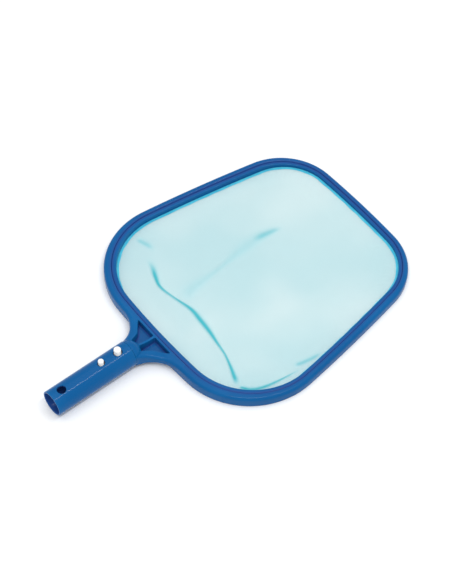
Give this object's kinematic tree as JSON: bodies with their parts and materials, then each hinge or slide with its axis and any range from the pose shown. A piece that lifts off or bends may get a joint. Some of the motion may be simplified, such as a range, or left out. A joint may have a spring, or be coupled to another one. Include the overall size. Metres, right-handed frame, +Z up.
{
  "type": "pool leaf skimmer net",
  "caption": "Flat fine-mesh net clamped in a rounded moulded rim, with a tubular handle socket that takes a pole and a spring clip with locking pins.",
  "frame": {"origin": "On the ground below the middle of the whole object's box; the rim and the socket both rest on z = 0.", "axes": "+X runs from the socket's mouth to the far edge of the net, +Y to the left seen from the handle, +Z up out of the net."},
  "size_m": [0.517, 0.349, 0.044],
  "materials": {
    "frame_plastic": "glossy moulded blue",
    "ring_plastic": "glossy moulded blue",
    "socket_plastic": "glossy moulded blue",
    "net_mesh": "fine woven mesh, pale aqua",
    "binding": "woven tape, cyan",
    "spring_steel": "satin spring strip",
    "pin_plastic": "satin warm white"
  },
  "bodies": {
    "head": {"frame": "frame_plastic", "clamp_ring": "ring_plastic", "handle_socket": "socket_plastic", "net": "net_mesh", "binding_tape": "binding", "spring_leg": "spring_steel"},
    "clip": {"spring_arm": "spring_steel", "pin_small": "pin_plastic", "pin_large": "pin_plastic"}
  },
  "joints": [
    {"name": "clip_press", "type": "hinge", "parent": "head", "child": "clip", "pos_m": [-0.20671, 0, 0.02878], "axis": [0, 1, 0], "range_deg": [0, 10], "stiffness_Nm_per_rad": 4, "springref_deg": -2.86}
  ]
}
